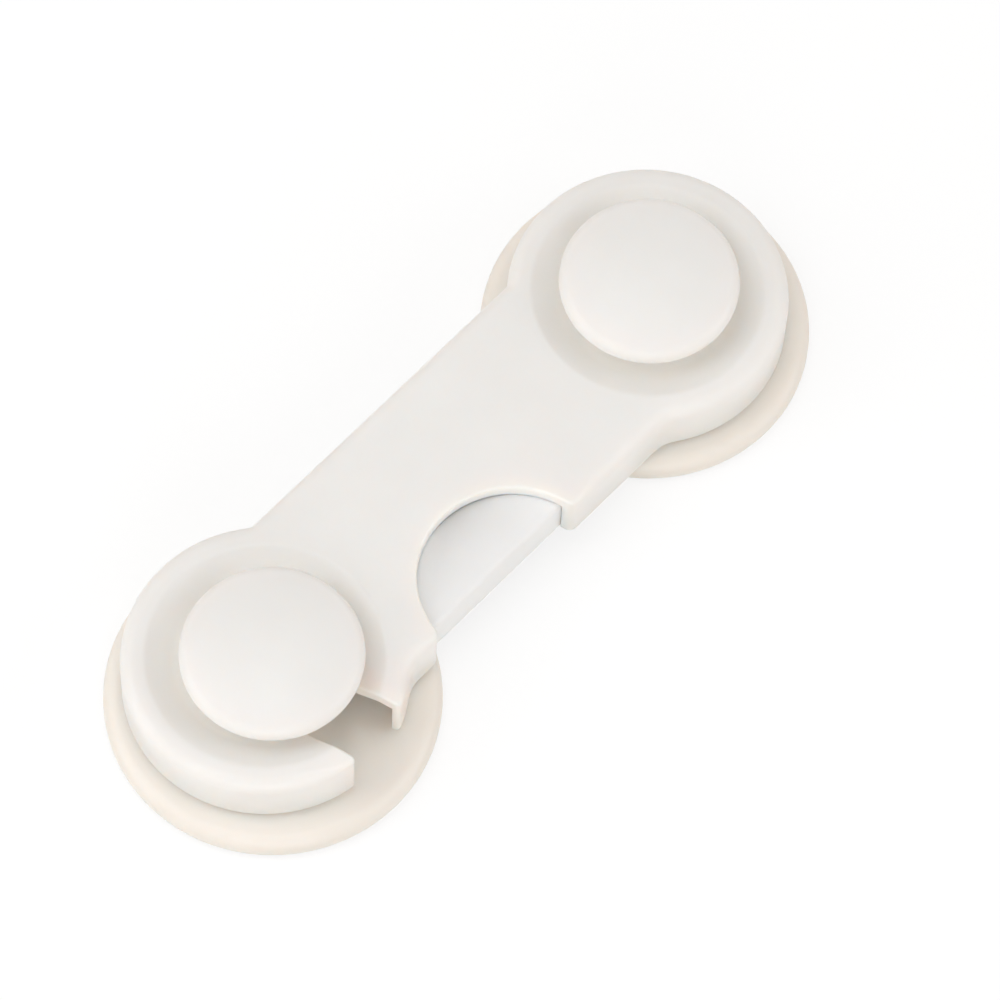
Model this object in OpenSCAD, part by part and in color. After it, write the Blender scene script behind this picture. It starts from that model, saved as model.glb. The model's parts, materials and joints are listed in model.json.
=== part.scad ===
/* [Mounting bases] */
// Distance between the two posts, centre to centre
post_spacing = 69.4; // [68:0.2:90]
// Diameter of each base disc
base_d = 42; // [40:0.5:50]
// Thickness of each base disc
base_t = 2.9; // [2.6:0.1:4]
// Rounding of a base's top edge
base_edge = 1.8; // [0.5:0.1:2.2]
// Diameter of a post, which is the neck that the arm turns on or hooks over
neck_d = 8; // [7.4:0.1:9]
// Wall of the hollow post
neck_wall = 1.4; // [1:0.1:1.8]
// Thickness of the floor in the post that the screw pulls against
post_floor_t = 1.2; // [0.8:0.1:1.6]
// Diameter of the low seat around a post that the arm slides on
seat_d = 14; // [11:0.5:18]
// Height of that seat above the disc
seat_h = 0.4; // [0.2:0.05:1]

/* [Adhesive pads] */
// Diameter of a foam adhesive pad
pad_d = 38; // [30:0.5:39]
// Thickness of a foam adhesive pad
pad_t = 1; // [0.8:0.1:2]
// Depth of the recess under a base that the pad is stuck into
pad_recess = 0.5; // [0.2:0.05:0.7]

/* [Caps] */
// Diameter of the mushroom head of a cap
cap_d = 22.8; // [20:0.2:25]
// Height of a head from its underside to its crown
cap_h = 4.4; // [4:0.1:6]
// Rounding of a head's rim below its widest line
cap_under = 1.5; // [0.6:0.1:1.7]
// Rounding of a head's rim above its widest line
cap_edge = 1.6; // [0.8:0.1:1.9]
// Air between the arm's top face and the underside of a head
cap_gap = 0.9; // [0.5:0.1:1.5]
// Diameter of the boss under the pivot's head that keeps the arm down
cap_boss_d = 13; // [10:0.5:16]

/* [Cap screws] */
// Diameter of a cap screw's shank
cap_screw_d = 2.5; // [2:0.1:2.6]
// Length of a cap screw under its head
cap_screw_l = 8; // [6:0.5:9]
// Diameter of a cap screw's head
cap_screw_head_d = 5.4; // [4.4:0.1:6]
// Height of a cap screw's head
cap_screw_head_h = 1.5; // [1.2:0.1:1.6]
// Length of the cross recess in a cap screw's head
cap_drive_l = 3.6; // [2.4:0.1:4]
// Width of that recess
cap_drive_w = 0.9; // [0.5:0.1:1.2]
// Depth of that recess
cap_drive_depth = 0.9; // [0.4:0.1:1]

/* [Arm] */
// Diameter of the arm's round ends
end_d = 35.6; // [34:0.2:40]
// Width of the bar between the ends
bar_w = 27.2; // [26:0.1:30]
// Height of the arm
arm_h = 8; // [7.6:0.1:10]
// Rounding of the arm's top edge
arm_edge = 1.7; // [0.6:0.1:1.8]
// Thickness of the arm's side walls
wall_t = 1.5; // [1.2:0.1:2]
// Thickness of the arm's top
top_t = 1.8; // [1.4:0.1:2]
// Diameter at the rim of the dish around each head
dish_d = 30.4; // [28:0.2:31]
// Depth of that dish
dish_depth = 1.8; // [1.2:0.1:2]
// Slope of the dish's side, in degrees
dish_slope = 25; // [20:1:40]
// Rounding between the dish and the arm's top face
dish_edge = 1.6; // [0.5:0.1:2]
// Diameter of the hub that turns on the pivot post
hub_d = 15; // [13:0.5:17]
// Thickness of the back plate that closes the arm from below
back_t = 1.6; // [1.4:0.1:2]
// Wall around the latch slot inside the arm
slot_wall = 1.5; // [1:0.1:1.8]
// Depth of the pocket beside the latch slot that the catch leaf works in
pocket_depth = 6; // [5:0.1:7]
// Wall between that pocket and the arm's outside
pocket_wall = 1; // [0.8:0.1:1.5]
// Angle by which the arm stands open, within the play that the catch leaves it
arm_turn = 1; // [0:0.1:1.2]

/* [Arm screws] */
// Diameter of an arm screw's shank
arm_screw_d = 1.7; // [1.4:0.1:2]
// Length of an arm screw under its head
arm_screw_l = 3.2; // [2.6:0.1:3.3]
// Diameter of an arm screw's head
arm_screw_head_d = 3.8; // [3:0.1:4]
// Height of an arm screw's head
arm_screw_head_h = 0.8; // [0.6:0.05:0.9]
// Length of the cross recess in an arm screw's head
arm_drive_l = 2.5; // [1.6:0.1:2.8]
// Width of that recess
arm_drive_w = 0.6; // [0.4:0.05:0.8]
// Depth of that recess
arm_drive_depth = 0.45; // [0.2:0.05:0.5]
// Diameter of the bosses that the arm screws bite into
boss_d = 5; // [4.2:0.1:5.4]
// Distance of the two near screws from the arm's centre line
boss_side = 7.5; // [6:0.1:8]
// Distance of the two near screws from the pivot
boss_from_pivot = 20.5; // [19:0.1:21.5]
// Distance of the far screw from the latch post, away from the pivot
boss_past_latch = 11; // [10:0.1:11.6]

/* [Release lever] */
// Diameter of the half-round window over the press pad
window_d = 24; // [22:0.1:24.4]
// Distance of the window's centre from the latch post along the arm
window_from_latch = 28.75; // [28:0.05:29.5]
// Distance of the window's centre outside the bar's edge
window_out = 1.2; // [0:0.1:2]
// Width by which the pad reaches under the window's rim
pad_lap = 1.2; // [0.8:0.1:1.4]
// Thickness of the pad's front, which hangs down in front of the back plate
front_t = 1.8; // [1.4:0.1:2.2]
// Angle that the lever turns through when the pad is pressed
press_turn = 8; // [6:0.5:9]
// Diameter of the eye that the lever turns in
eye_d = 6; // [5:0.1:6.4]
// Distance of the lever's pin to the pivot side of the latch post
pin_along = 1.5; // [1.2:0.1:2]
// Distance of the lever's pin from the wall around the latch slot
pin_from_slot = 3.6; // [3.5:0.1:4.2]
// Distance by which the lever's elbow lies nearer the centre line than its pin
elbow_drop = 4.8; // [4.2:0.1:5]
// Diameter of the lever's pin
pin_d = 3; // [2:0.1:3.4]
// Depth to which the pin sits in the back plate and in the cover
pin_seat = 1; // [0.6:0.1:1.2]
// Width of the lever's arm that carries the catch leaf
catch_arm_w = 3; // [2.4:0.1:3.4]
// Distance between that arm and the wall around the latch slot
catch_arm_gap = 0.4; // [0.3:0.05:0.6]
// Width of the lever's bars from the eye to the press pad
lever_bar_w = 5; // [4:0.1:5.4]
// Distance that the catch leaf reaches into the neck's way out
catch_bite = 1.2; // [0.9:0.05:1.4]
// Distance between the catch leaf and the neck
catch_gap = 0.6; // [0.3:0.05:0.8]
// Length of the catch leaf
leaf_l = 8; // [7.4:0.1:8.4]
// Thickness of the catch leaf
leaf_t = 0.6; // [0.3:0.05:0.8]
// Angle between the catch leaf and the arm's centre line
leaf_lean = 42.5; // [40:0.5:45]

/* [Return spring] */
// Outer diameter of the return spring
spring_d = 3.6; // [3:0.1:3.8]
// Diameter of its wire
wire_d = 0.5; // [0.3:0.05:0.55]
// Number of turns
spring_turns = 7; // [5:1:8]
// Distance of the spring from the latch post along the arm
spring_from_latch = 22.7; // [21.5:0.1:24]
// Length of the spring as fitted
spring_l = 9.1; // [8:0.1:9.5]
// Length of the pegs that hold its ends
peg_l = 1.8; // [1:0.1:2]
// Width of the lever's block beside the spring
block_side = 0.5; // [0.3:0.1:0.8]

/* [Clearances] */
// Running clearance around the pivot post
pivot_fit = 0.08; // [0.03:0.01:0.1]
// Clearance on each side of the latch post in the slot
slot_fit = 0.2; // [0.15:0.05:0.4]
// Up and down play of the arm at each side
arm_play = 0.2; // [0.1:0.05:0.3]
// Clearance of the lever inside the arm
lever_fit = 0.2; // [0.15:0.05:0.3]
// Clearance of the press pad's top under the window's rim
press_fit = 0.1; // [0.05:0.05:0.3]
// Room past the catch leaf's tip in its pocket
catch_room = 0.8; // [0.6:0.1:1.2]
// Running clearance around the lever's pin
pin_fit = 0.05; // [0.03:0.01:0.1]
// Clearance around the back plate and other fixed pieces
seat_fit = 0.15; // [0.1:0.05:0.2]
// Clearance between a fastener, stem or spring and the hole or peg that it fits
hole_fit = 0.05; // [0.02:0.01:0.1]

/* [Hidden] */
$fn = 96;
arc_steps = 8;
overcut = 1;
peg_root = 0.5;
latch_x = -post_spacing / 2;
pivot_x = post_spacing / 2;
neck_r = neck_d / 2;
end_r = end_d / 2;

// Heights, from the surface that the lock is stuck to
base_z0 = pad_t - pad_recess;
recess_z1 = pad_t;
base_z1 = base_z0 + base_t;
seat_z1 = base_z1 + seat_h;
arm_z0 = seat_z1 + arm_play;
arm_z1 = arm_z0 + arm_h;
back_z1 = arm_z0 + back_t;
dish_z0 = arm_z1 - dish_depth;
bar_ceiling = arm_z1 - top_t;
end_ceiling = dish_z0 - top_t;
boss_z0 = dish_z0 + arm_play;
cap_z0 = arm_z1 + cap_gap;
cap_z1 = cap_z0 + cap_h;
lever_z0 = back_z1 + lever_fit;
lever_z1 = end_ceiling - lever_fit;
front_z0 = arm_z0 + lever_fit;
press_z1 = bar_ceiling - press_fit;

// Cap fastening inside a post
cap_screw_seat = recess_z1 + cap_screw_head_h + seat_fit;
post_floor_z1 = cap_screw_seat + post_floor_t;
stem_r = neck_r - neck_wall - hole_fit;
stem_z0 = post_floor_z1 + seat_fit;
cap_screw_hole_r = cap_screw_d / 2 + hole_fit;
cap_screw_tip = cap_screw_seat + cap_screw_l;

// Lever layout in plan
slot_r = neck_r + slot_fit;
window_x = latch_x + window_from_latch;
window_y = -bar_w / 2 - window_out;
window_r = window_d / 2;
inner_y = bar_w / 2 - wall_t;
press_y = -inner_y + seat_fit;
front_half = sqrt(pow(window_r + pad_lap, 2) - pow(press_y - window_y, 2));
pin_across = slot_r + slot_wall + pin_from_slot;
pin_at = [latch_x + pin_along, pin_across];
spring_x = latch_x + spring_from_latch;
spring_z = (lever_z0 + press_z1) / 2;
spring_y1 = inner_y;
spring_y0 = spring_y1 - spring_l;
peg_r = spring_d / 2 - wire_d - 2 * hole_fit;
spring_block_w = spring_d + 2 * block_side;
spring_block_y0 = window_y + window_r / 2;
hand_at = [spring_x, spring_y0 - lever_bar_w / 2];

// The catch leaf leans so that the neck can push in past it but not out
neck_at = [pivot_x - post_spacing * cos(arm_turn), -post_spacing * sin(arm_turn)];
tip_along = neck_r - catch_bite;
catch_tip = neck_at + [tip_along, -sqrt(pow(neck_r + catch_gap, 2) - pow(tip_along, 2))];
leaf_root = catch_tip + leaf_l * [cos(leaf_lean), -sin(leaf_lean)];
slot_wall_r = post_spacing - slot_r - slot_wall;
slot_wall_x = pivot_x - sqrt(pow(slot_wall_r, 2) - pow(leaf_root[1], 2));
catch_x = slot_wall_x + catch_arm_gap + catch_arm_w / 2;
catch_end = [catch_x, leaf_root[1]];
elbow_at = [catch_x, pin_across - elbow_drop];
leaf_z0 = lever_z0 + lever_fit;
leaf_z1 = lever_z1 - lever_fit;

boss_at = [
    [pivot_x - boss_from_pivot, boss_side],
    [pivot_x - boss_from_pivot, -boss_side],
    [latch_x - boss_past_latch, pin_across / 2]
];
arm_screw_seat = arm_z0 + arm_screw_head_h;
arm_screw_hole_r = arm_screw_d / 2 + hole_fit;
arm_screw_hole_z1 = arm_screw_seat + arm_screw_l + seat_fit;

// Wire of the return spring
rings_per_turn = 10;
wire_sides = 6;
ring_count = spring_turns * rings_per_turn;
coil_r = (spring_d - wire_d) / 2;
coil_pitch = (spring_l - wire_d - 2 * hole_fit) / spring_turns;

ivory = [0.95, 0.93, 0.89];
foam_white = [0.93, 0.93, 0.92];
steel = [0.72, 0.73, 0.75];

// Points on an arc around a centre, from one angle to another
function arc(centre, r, from, to) =
    [for (i = [0:arc_steps])
        let (a = from + (to - from) * i / arc_steps)
        centre + r * [cos(a), sin(a)]];

// Height of the arm's hollow at a place along it
function ceiling_at(x) = abs(x - latch_x) < end_r ? end_ceiling : bar_ceiling;

// Where a point of the lever stands with the pad fully pressed
function pressed(p) =
    let (arm = p - pin_at)
    pin_at + [
        arm[0] * cos(press_turn) - arm[1] * sin(press_turn),
        arm[0] * sin(press_turn) + arm[1] * cos(press_turn)
    ];

// Straight bar with round ends between two points
module bar2d(a, b, w) {
    run = b - a;
    translate(a)
        circle(d = w);
    translate(b)
        circle(d = w);
    translate(a)
        rotate(atan2(run[1], run[0]))
            translate([0, -w / 2])
                square([norm(run), w]);
}

// Slab between two heights
module slab(z0, z1) {
    translate([0, 0, z0])
        linear_extrude(z1 - z0)
            children();
}

// Stands the arm and what it carries open by its play around the pivot
module in_arm() {
    translate([pivot_x, 0, 0])
        rotate(-arm_turn)
            translate([-pivot_x, 0, 0])
                children();
}

// Both round ends and the bar in plan, drawn in from the outside by an inset
module arm_plan(inset) {
    for (x = [latch_x, pivot_x])
        translate([x, 0])
            circle(r = end_r - inset);
    square([post_spacing, bar_w - 2 * inset], center = true);
}

// Way of the latch post through the arm: an arc around the pivot, widened by grow
module slot_plan(grow) {
    half = slot_r + grow;
    translate([latch_x, 0])
        circle(r = half);
    intersection() {
        translate([pivot_x, 0])
            difference() {
                circle(r = post_spacing + half);
                circle(r = post_spacing - half);
            }
        translate([latch_x - end_r, -end_r - overcut])
            square([2 * end_r, end_r + overcut]);
    }
}

// Base disc with its hollow post
module base(x) {
    rim = base_d / 2;
    profile = concat(
        [[0, base_z0], [rim, base_z0]],
        arc([rim - base_edge, base_z1 - base_edge], base_edge, 0, 90),
        [[seat_d / 2, base_z1], [seat_d / 2, seat_z1], [neck_r, seat_z1], [neck_r, boss_z0], [0, boss_z0]]
    );
    translate([x, 0, 0])
        difference() {
            rotate_extrude()
                polygon(profile);
            translate([0, 0, base_z0 - overcut])
                cylinder(d = pad_d + 2 * seat_fit, h = pad_recess + overcut);
            translate([0, 0, base_z0])
                cylinder(d = cap_screw_head_d + 2 * seat_fit, h = cap_screw_seat - base_z0);
            cylinder(r = cap_screw_hole_r, h = boss_z0);
            translate([0, 0, post_floor_z1])
                cylinder(r = neck_r - neck_wall, h = boss_z0);
        }
}

// Mushroom cap: a low dome that runs into a round rim, with a boss and a stem below.
// The latch's boss is as wide as its neck, to pass through the slot
module cap(x, boss_w) {
    rim = cap_d / 2;
    rim_z = cap_z0 + cap_under;
    rise = cap_z1 - rim_z;
    edge_at = [rim - cap_edge, rim_z];
    dome_r = (pow(rise, 2) + pow(edge_at[0], 2) - pow(cap_edge, 2)) / (2 * (rise - cap_edge));
    dome_at = [0, cap_z1 - dome_r];
    blend = atan2(edge_at[1] - dome_at[1], edge_at[0]);
    profile = concat(
        [[0, cap_z0]],
        arc([rim - cap_under, rim_z], cap_under, -90, 0),
        arc(edge_at, cap_edge, 0, blend),
        arc(dome_at, dome_r, blend, 90)
    );
    translate([x, 0, 0])
        difference() {
            union() {
                rotate_extrude()
                    polygon(profile);
                translate([0, 0, boss_z0])
                    cylinder(d = boss_w, h = cap_z0 - boss_z0 + cap_under);
                translate([0, 0, stem_z0])
                    cylinder(r = stem_r, h = cap_z0 - stem_z0);
            }
            translate([0, 0, stem_z0 - overcut])
                cylinder(r = cap_screw_hole_r, h = cap_screw_tip - stem_z0 + 2 * overcut);
        }
}

// Pan-head screw pointing up, with a cross recess under its head
module screw(seat_z, shank_d, shank_l, head_d, head_h, drive_l, drive_w, drive_depth) {
    translate([0, 0, seat_z])
        difference() {
            union() {
                translate([0, 0, -head_h])
                    cylinder(d = head_d, h = head_h);
                cylinder(d = shank_d, h = shank_l);
            }
            for (turn = [0, 90])
                rotate(turn)
                    translate([-drive_l / 2, -drive_w / 2, -head_h - overcut])
                        cube([drive_l, drive_w, drive_depth + overcut]);
        }
}

module cap_screw(x) {
    translate([x, 0, 0])
        screw(cap_screw_seat, cap_screw_d, cap_screw_l, cap_screw_head_d, cap_screw_head_h,
            cap_drive_l, cap_drive_w, cap_drive_depth);
}

module adhesive_pad(x) {
    translate([x, 0, 0])
        cylinder(d = pad_d, h = pad_t);
}

// Outer shape of the arm with its rounded top edge
module arm_outside() {
    end_profile = concat(
        [[0, arm_z0], [end_r, arm_z0]],
        arc([end_r - arm_edge, arm_z1 - arm_edge], arm_edge, 0, 90),
        [[0, arm_z1]]
    );
    half = bar_w / 2;
    bar_profile = concat(
        [[-half, arm_z0], [half, arm_z0]],
        arc([half - arm_edge, arm_z1 - arm_edge], arm_edge, 0, 90),
        arc([arm_edge - half, arm_z1 - arm_edge], arm_edge, 90, 180)
    );
    for (x = [latch_x, pivot_x])
        translate([x, 0, 0])
            rotate_extrude()
                polygon(end_profile);
    translate([latch_x, 0, 0])
        rotate([90, 0, 90])
            linear_extrude(post_spacing)
                polygon(bar_profile);
}

// Dish around a head, cut from above
module dish(x) {
    rim = dish_d / 2;
    lip_run = dish_edge * sin(dish_slope);
    lip_fall = dish_edge * (1 - cos(dish_slope));
    floor_r = rim - lip_run - (dish_depth - lip_fall) / tan(dish_slope);
    profile = concat(
        [[0, dish_z0], [floor_r, dish_z0]],
        arc([rim, arm_z1 - dish_edge], dish_edge, 90 + dish_slope, 90),
        [[rim, arm_z1 + overcut], [0, arm_z1 + overcut]]
    );
    translate([x, 0, 0])
        rotate_extrude()
            polygon(profile);
}

// Hollow of the arm, lower under the dishes than under the bar
module arm_hollow() {
    slab(arm_z0 - overcut, end_ceiling)
        arm_plan(wall_t);
    slab(arm_z0 - overcut, bar_ceiling)
        difference() {
            square([post_spacing, bar_w - 2 * wall_t], center = true);
            for (x = [latch_x, pivot_x])
                translate([x, 0])
                    circle(r = end_r - wall_t / 2);
        }
}

// Peg for the return spring, pointing along Y from a face
module spring_peg(y, toward) {
    translate([spring_x, y - toward * peg_root, spring_z])
        rotate([-90 * toward, 0, 0])
            cylinder(r = peg_r, h = peg_l + peg_root);
}

// Pocket on the pivot's side of the slot that the catch leaf works in, in plan
module pocket_plan() {
    intersection() {
        slot_plan(pocket_depth);
        arm_plan(pocket_wall);
        translate([latch_x, -end_r])
            square([end_r, end_r + catch_tip[1] + catch_room]);
    }
}

// That pocket, open below and roofed evenly under the dish
module catch_pocket() {
    difference() {
        slab(arm_z0 - overcut, bar_ceiling)
            pocket_plan();
        translate([0, 0, -top_t])
            dish(latch_x);
    }
}

// Press pad in plan, a round cut off along the bar's side
module press_plan() {
    intersection() {
        translate([window_x, window_y])
            circle(r = window_r + pad_lap);
        translate([window_x - window_d, press_y])
            square([2 * window_d, bar_w]);
    }
}

// Front of the press pad in plan
module front_plan() {
    intersection() {
        press_plan();
        translate([window_x - window_d, press_y])
            square([2 * window_d, front_t]);
    }
}

// Way of the pad's front through the back plate as the pad is pressed
module front_way() {
    left = window_x - front_half;
    right = window_x + front_half;
    behind = press_y + front_t;
    polygon([
        [left - lever_fit, press_y - overcut],
        [right + lever_fit, press_y - overcut],
        pressed([right, press_y]) + [lever_fit, 0],
        pressed([right, behind]) + [lever_fit, lever_fit],
        pressed([left, behind]) + [-lever_fit, lever_fit],
        [left - lever_fit, behind + lever_fit]
    ]);
}

// Upper shell of the arm
module arm_cover() {
    color(ivory) in_arm()
        difference() {
            union() {
                difference() {
                    arm_outside();
                    arm_hollow();
                }
                translate([pivot_x, 0, arm_z0])
                    cylinder(d = hub_d, h = end_ceiling - arm_z0 + top_t / 2);
                slab(arm_z0, end_ceiling + top_t / 2)
                    intersection() {
                        slot_plan(slot_wall);
                        arm_plan(wall_t / 2);
                    }
                for (at = boss_at)
                    translate([at[0], at[1], back_z1])
                        cylinder(d = boss_d, h = ceiling_at(at[0]) - back_z1 + top_t / 2);
                spring_peg(spring_y1, -1);
            }
            for (x = [latch_x, pivot_x])
                dish(x);
            translate([pivot_x, 0, arm_z0 - overcut])
                cylinder(r = neck_r + pivot_fit, h = arm_h + 2 * overcut);
            slab(arm_z0 - overcut, arm_z1 + overcut)
                slot_plan(0);
            translate([window_x, window_y, arm_z0 - overcut])
                cylinder(r = window_r, h = arm_h + 2 * overcut);
            translate([pin_at[0], pin_at[1], end_ceiling - overcut])
                cylinder(d = pin_d, h = pin_seat + overcut);
            for (at = boss_at)
                translate([at[0], at[1], back_z1 - overcut])
                    cylinder(r = arm_screw_hole_r, h = arm_screw_hole_z1 - back_z1 + overcut);
            catch_pocket();
        }
}

// Plate that closes the arm from below
module arm_back_plate() {
    color(ivory) in_arm()
        difference() {
            slab(arm_z0, back_z1)
                difference() {
                    arm_plan(wall_t + seat_fit);
                    slot_plan(slot_wall + seat_fit);
                    translate([pivot_x, 0])
                        circle(d = hub_d + 2 * seat_fit);
                    front_way();
                    pocket_plan();
                }
            translate([pin_at[0], pin_at[1], back_z1 - pin_seat])
                cylinder(d = pin_d, h = pin_seat + overcut);
            for (at = boss_at)
                translate([at[0], at[1], arm_z0 - overcut]) {
                    cylinder(r = arm_screw_hole_r, h = back_t + 2 * overcut);
                    cylinder(d = arm_screw_head_d + 2 * seat_fit, h = arm_screw_head_h + overcut);
                }
        }
}

// Screws that hold the back plate to the cover
module arm_screws() {
    color(steel) in_arm()
        for (at = boss_at)
            translate([at[0], at[1], 0])
                screw(arm_screw_seat, arm_screw_d, arm_screw_l, arm_screw_head_d, arm_screw_head_h,
                    arm_drive_l, arm_drive_w, arm_drive_depth);
}

// Pin that the release lever turns on
module lever_pin() {
    color(steel) in_arm()
        translate([pin_at[0], pin_at[1], back_z1 - pin_seat])
            cylinder(d = pin_d, h = end_ceiling - back_z1 + 2 * pin_seat);
}

// Strip of the catch leaf in plan, widened on each side by grow
module leaf_plan(grow) {
    translate(catch_tip)
        rotate(-leaf_lean)
            translate([0, -leaf_t / 2 - grow])
                square([leaf_l + grow, leaf_t + 2 * grow]);
}

// Lever with the press pad, the eye and the arm that carries the catch leaf
module release_lever() {
    color(ivory) in_arm()
        difference() {
            union() {
                slab(lever_z0, lever_z1) {
                    translate(pin_at)
                        circle(d = eye_d);
                    bar2d(pin_at, elbow_at, lever_bar_w);
                    bar2d(elbow_at, hand_at, lever_bar_w);
                    bar2d(elbow_at, catch_end, catch_arm_w);
                }
                slab(front_z0, lever_z1)
                    front_plan();
                slab(lever_z0, press_z1) {
                    press_plan();
                    translate([spring_x - spring_block_w / 2, spring_block_y0])
                        square([spring_block_w, spring_y0 - spring_block_y0]);
                }
                spring_peg(spring_y0, 1);
            }
            translate([pin_at[0], pin_at[1], lever_z0 - overcut])
                cylinder(r = pin_d / 2 + pin_fit, h = lever_z1 - lever_z0 + 2 * overcut);
            slab(leaf_z0 - hole_fit, leaf_z1 + hole_fit)
                leaf_plan(hole_fit);
        }
}

// Spring-steel strip that hooks in front of the latch post
module catch_leaf() {
    color(steel) in_arm()
        slab(leaf_z0, leaf_z1)
            leaf_plan(0);
}

// Centre of the spring's wire, and a ring around it, after a number of steps
function coil_centre(i) =
    [coil_r * cos(360 * i / rings_per_turn),
     spring_y0 + hole_fit + wire_d / 2 + coil_pitch * i / rings_per_turn,
     coil_r * sin(360 * i / rings_per_turn)];
function coil_ring(i) =
    [for (k = [0:wire_sides - 1])
        let (turn = 360 * i / rings_per_turn, side = 360 * k / wire_sides)
        coil_centre(i) + wire_d / 2 * [cos(side) * cos(turn), sin(side), cos(side) * sin(turn)]];
echo(least_gap_between_turns = norm(coil_centre(rings_per_turn) - coil_centre(0)) - wire_d);

// Coil spring along Y, one unbroken tube of wire
module return_spring() {
    points = [for (i = [0:ring_count]) each coil_ring(i)];
    sides = [
        for (i = [0:ring_count - 1], k = [0:wire_sides - 1])
            let (a = i * wire_sides + k, b = i * wire_sides + (k + 1) % wire_sides)
            each [[a, b, a + wire_sides], [b, b + wire_sides, a + wire_sides]]
    ];
    last = ring_count * wire_sides;
    ends = [
        for (k = [1:wire_sides - 2])
            each [[0, k + 1, k], [last, last + k, last + k + 1]]
    ];
    color(steel) in_arm()
        translate([spring_x, 0, spring_z])
            polyhedron(points = points, faces = concat(sides, ends));
}

module pivot_base() color(ivory) base(pivot_x);
module pivot_cap() color(ivory) cap(pivot_x, cap_boss_d);
module pivot_screw() color(steel) cap_screw(pivot_x);
module pivot_adhesive_pad() color(foam_white) adhesive_pad(pivot_x);
module latch_base() color(ivory) base(latch_x);
module latch_cap() color(ivory) cap(latch_x, neck_d);
module latch_screw() color(steel) cap_screw(latch_x);
module latch_adhesive_pad() color(foam_white) adhesive_pad(latch_x);

pivot_base();
pivot_cap();
pivot_screw();
pivot_adhesive_pad();
latch_base();
latch_cap();
latch_screw();
latch_adhesive_pad();
arm_cover();
arm_back_plate();
arm_screws();
lever_pin();
return_spring();
release_lever();
catch_leaf();
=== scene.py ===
"""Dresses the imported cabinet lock: fine plastic shells, foam pads, steel, light and camera.

Sizes are in millimetres until a mesh is made, which is in metres.
"""
import json
import math

import bmesh
import bpy
import numpy as np
from mathutils import Matrix, Vector
from mathutils.geometry import delaunay_2d_cdt


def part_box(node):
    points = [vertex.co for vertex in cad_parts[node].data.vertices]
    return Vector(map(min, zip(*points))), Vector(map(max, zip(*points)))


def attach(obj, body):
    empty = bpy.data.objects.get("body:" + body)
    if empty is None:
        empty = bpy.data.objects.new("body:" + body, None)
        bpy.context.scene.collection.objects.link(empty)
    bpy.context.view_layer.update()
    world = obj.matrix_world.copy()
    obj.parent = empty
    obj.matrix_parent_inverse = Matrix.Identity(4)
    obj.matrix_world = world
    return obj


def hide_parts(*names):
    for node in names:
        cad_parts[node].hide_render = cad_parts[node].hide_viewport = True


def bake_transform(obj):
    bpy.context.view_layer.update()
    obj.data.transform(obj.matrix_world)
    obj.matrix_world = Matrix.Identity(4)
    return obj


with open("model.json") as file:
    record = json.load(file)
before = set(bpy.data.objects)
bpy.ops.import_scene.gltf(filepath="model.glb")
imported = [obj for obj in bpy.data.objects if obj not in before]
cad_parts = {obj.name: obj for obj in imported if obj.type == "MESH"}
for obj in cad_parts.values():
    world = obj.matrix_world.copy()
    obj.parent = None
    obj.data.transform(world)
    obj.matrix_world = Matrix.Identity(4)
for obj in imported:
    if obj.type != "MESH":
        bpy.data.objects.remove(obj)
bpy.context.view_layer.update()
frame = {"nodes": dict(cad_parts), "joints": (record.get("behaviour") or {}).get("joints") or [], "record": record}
nodes = frame["nodes"]

MM = 0.001

# Places and heights from the frame
joints = {j["name"]: j for j in frame["joints"]}
mounts = {m["name"]: m for m in frame["record"]["mounts"]}


def box_mm(node):
    low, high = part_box(node)
    return low / MM, high / MM


PIVOT = Vector(joints["arm_swing"]["pos_m"][:2]) / MM
LATCH = Vector(mounts["latch_adhesive_face"]["pos_m"][:2]) / MM
PIN = Vector(joints["lever_press"]["pos_m"][:2]) / MM
SPACING = (PIVOT - LATCH).length
base_low, base_high = box_mm("latch_base")
cap_low, cap_high = box_mm("latch_cap")
arm_low, arm_high = box_mm("arm_cover")
foam_low, foam_high = box_mm("latch_adhesive_pad")
lever_low, lever_high = box_mm("release_lever")
leaf_low, leaf_high = box_mm("catch_leaf")
spring_low, spring_high = box_mm("return_spring")
ARM_Z0, ARM_Z1 = arm_low.z, arm_high.z
PLATE_Z1 = box_mm("arm_back_plate")[1].z

# Bases and caps
BASE_R = (base_high.x - base_low.x) / 2
BASE_Z0 = base_low.z
BASE_TOP = 3.4
BASE_EDGE = 1.8
BASE_FOOT_EDGE = 0.35
SEAT_R = 7.0
SEAT_TOP = 3.8
NECK_R = 4.0
NECK_TOP = base_high.z
NECK_BORE_R = 2.6
POST_FLOOR = 3.85
SCREW_SEAT = 2.65
SCREW_HEAD_R = 2.85
SCREW_HOLE_R = 1.3
RECESS_R = 19.15
RECESS_TOP = foam_high.z
CAP_R = (cap_high.x - cap_low.x) / 2
CAP_UNDERSIDE = 12.9
CAP_TOP = cap_high.z
CAP_UNDER = 1.5
CAP_EDGE = 1.6
PIVOT_BOSS_R = 6.5
STEM_R = 2.55
STEM_Z0 = cap_low.z
STEM_HOLE_TOP = 11.65
SMALL_EDGE = 0.15

# Foam pads
FOAM_WAIST = 0.12
FOAM_CORNER = 0.06

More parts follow.
